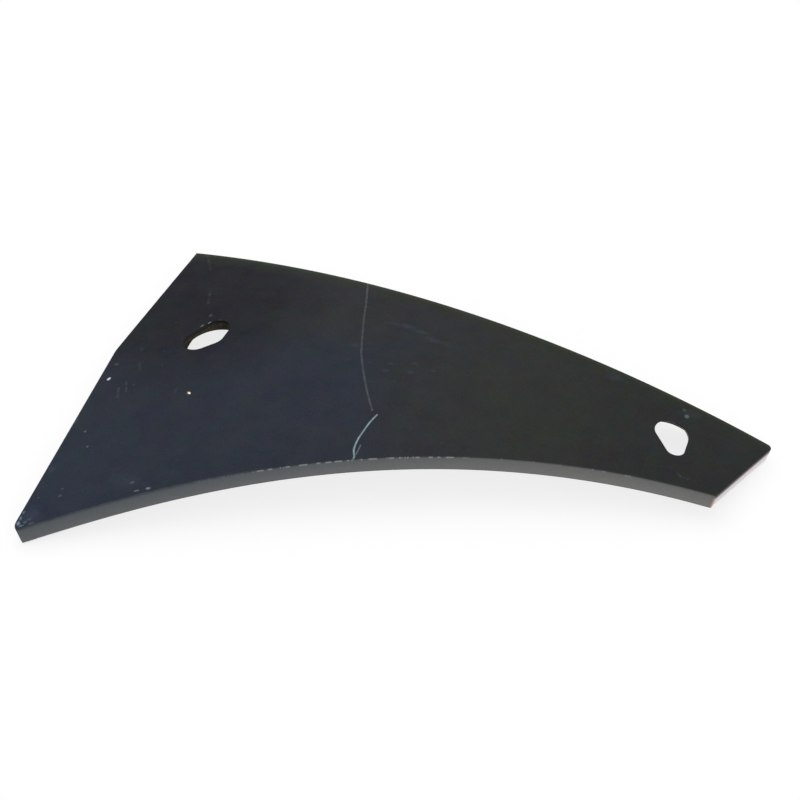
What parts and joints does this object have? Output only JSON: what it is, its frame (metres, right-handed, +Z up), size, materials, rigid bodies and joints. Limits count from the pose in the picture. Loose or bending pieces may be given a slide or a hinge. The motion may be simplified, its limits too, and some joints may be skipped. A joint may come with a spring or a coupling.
{
  "type": "mouldboard breast",
  "caption": "Bent steel wear plate for a plough mouldboard, tapering from a kneed share edge to a square tip, with countersunk drawn-out bolt holes.",
  "frame": {"origin": "centre of the bounding box, on the ground that the plate lies on", "axes": "+X from the wide share edge to the narrow tip, +Y towards the convex shin edge, +Z up out of the convex back"},
  "size_m": [0.3262, 0.1908, 0.0249],
  "materials": {
    "black_paint": "satin, worn to bare steel along some edges"
  },
  "bodies": {
    "root": {"breast_plate": "black_paint"}
  },
  "joints": []
}
